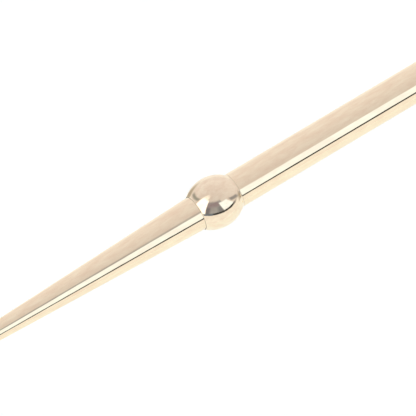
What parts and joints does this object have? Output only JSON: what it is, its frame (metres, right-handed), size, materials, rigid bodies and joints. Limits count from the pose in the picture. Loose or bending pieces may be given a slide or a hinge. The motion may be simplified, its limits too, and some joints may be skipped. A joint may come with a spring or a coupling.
{
  "type": "tie tack",
  "caption": "Bar tie tack: a round bar with a ball between a straight and a tapered arm, on a pointed post held by a sprung ball clutch.",
  "frame": {"origin": "on the post's axis, at the flat back face of the saddle, where the tie's cloth lies", "axes": "+X along the bar from the tapered arm to the straight arm, +Z out of the cloth towards the bar, so the post points along -Z"},
  "size_m": [0.0571, 0.0074, 0.0144],
  "materials": {
    "polished_gold": "mirror polished, pale gold plated",
    "post_gold": "drawn wire, pale gold plated",
    "clutch_gold": "drawn and plated, satin with bright edges",
    "cage_brass": "turned, bare",
    "hard_steel": "turned",
    "ball_steel": "ground and polished",
    "spring_steel": "drawn wire",
    "nylon": "moulded"
  },
  "bodies": {
    "head": {"centre_ball": "polished_gold", "joining_pin": "polished_gold", "straight_arm": "polished_gold", "tapered_arm": "polished_gold", "post_saddle": "polished_gold", "post_collar": "polished_gold", "post": "post_gold"},
    "guide": {"guide_bush": "nylon"},
    "housing": {"base_plate": "clutch_gold", "housing_shell": "clutch_gold", "cone_sleeve": "hard_steel", "spring_washer": "hard_steel", "release_spring": "spring_steel"},
    "plunger": {"ball_cage": "cage_brass", "pull_knob": "clutch_gold"},
    "lock_ball_1": {"lock_ball_1": "ball_steel"},
    "lock_ball_2": {"lock_ball_2": "ball_steel"},
    "lock_ball_3": {"lock_ball_3": "ball_steel"}
  },
  "joints": [
    {"name": "clutch_slide", "type": "slide", "parent": "head", "child": "guide", "axis": [0, 0, -1], "range_m": [-0.0007, 0.009]},
    {"name": "clutch_turn", "type": "hinge", "parent": "guide", "child": "housing", "pos_m": [0, 0, -0.0025], "axis": [0, 0, -1], "continuous": true},
    {"name": "knob_pull", "type": "slide", "parent": "housing", "child": "plunger", "axis": [0, 0, -1], "range_m": [0, 0.001], "stiffness_N_per_m": 400, "springref_m": -0.0015, "deforming": ["release_spring"]},
    {"name": "ball_1_out", "type": "slide", "parent": "plunger", "child": "lock_ball_1", "axis": [1, 0, 0], "range_m": [0, 0.00028]},
    {"name": "ball_2_out", "type": "slide", "parent": "plunger", "child": "lock_ball_2", "axis": [-0.5, 0.866, 0], "range_m": [0, 0.00028]},
    {"name": "ball_3_out", "type": "slide", "parent": "plunger", "child": "lock_ball_3", "axis": [-0.5, -0.866, 0], "range_m": [0, 0.00028]}
  ],
  "couplings": [
    {"joint": "ball_1_out", "follows": "knob_pull", "ratio": 0.27},
    {"joint": "ball_2_out", "follows": "knob_pull", "ratio": 0.27},
    {"joint": "ball_3_out", "follows": "knob_pull", "ratio": 0.27}
  ]
}
